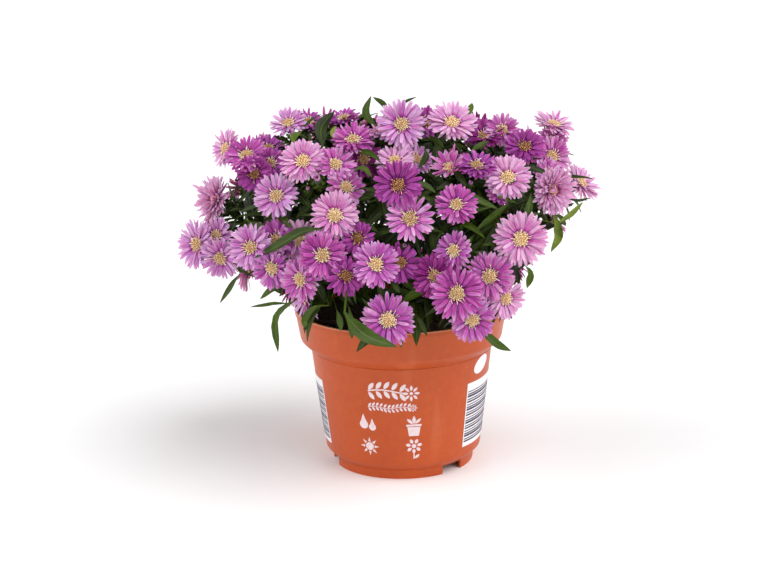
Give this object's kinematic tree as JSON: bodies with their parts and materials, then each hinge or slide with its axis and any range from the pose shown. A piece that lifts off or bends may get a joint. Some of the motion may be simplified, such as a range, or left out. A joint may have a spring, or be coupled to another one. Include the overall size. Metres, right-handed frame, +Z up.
{
  "type": "potted aster",
  "caption": "Bushy flowering aster with lilac-pink daisy blooms and narrow green leaves, growing in a tapered round plastic nursery pot with a tall collar and notched feet.",
  "frame": {"origin": "under the middle of the whole plant's box, on the surface that the pot's feet stand on", "axes": "+Z up, parallel to the pot's axis, -Y towards the side that the picture shows, +X to that side's right"},
  "size_m": [0.2372, 0.2225, 0.2178],
  "materials": {
    "pot_plastic": "satin",
    "compost": "matte",
    "leaf_green": "satin",
    "petals": "matte"
  },
  "bodies": {
    "root": {"blooms_01": "petals", "blooms_02": "petals", "blooms_03": "petals", "blooms_04": "petals", "blooms_05": "petals", "blooms_06": "petals", "blooms_07": "petals", "blooms_08": "petals", "blooms_09": "petals", "blooms_10": "petals", "blooms_11": "petals", "blooms_12": "petals", "blooms_13": "petals", "blooms_14": "petals", "blooms_15": "petals", "blooms_16": "petals", "blooms_17": "petals", "blooms_18": "petals", "blooms_19": "petals", "blooms_20": "petals", "blooms_21": "petals", "blooms_22": "petals", "blooms_23": "petals", "blooms_24": "petals", "blooms_25": "petals", "blooms_26": "petals", "blooms_27": "petals", "blooms_28": "petals", "blooms_29": "petals", "blooms_30": "petals", "blooms_31": "petals", "blooms_32": "petals", "blooms_33": "petals", "blooms_34": "petals", "blooms_35": "petals", "blooms_36": "petals", "blooms_37": "petals", "blooms_38": "petals", "blooms_39": "petals", "blooms_40": "petals", "blooms_41": "petals", "blooms_42": "petals", "blooms_43": "petals", "blooms_44": "petals", "blooms_45": "petals", "blooms_46": "petals", "blooms_47": "petals", "blooms_48": "petals", "compost": "compost", "leafy_stem_01": "leaf_green", "leafy_stem_02": "leaf_green", "leafy_stem_03": "leaf_green", "leafy_stem_04": "leaf_green", "leafy_stem_05": "leaf_green", "leafy_stem_06": "leaf_green", "leafy_stem_07": "leaf_green", "leafy_stem_08": "leaf_green", "leafy_stem_09": "leaf_green", "leafy_stem_10": "leaf_green", "pot": "pot_plastic"}
  },
  "joints": []
}
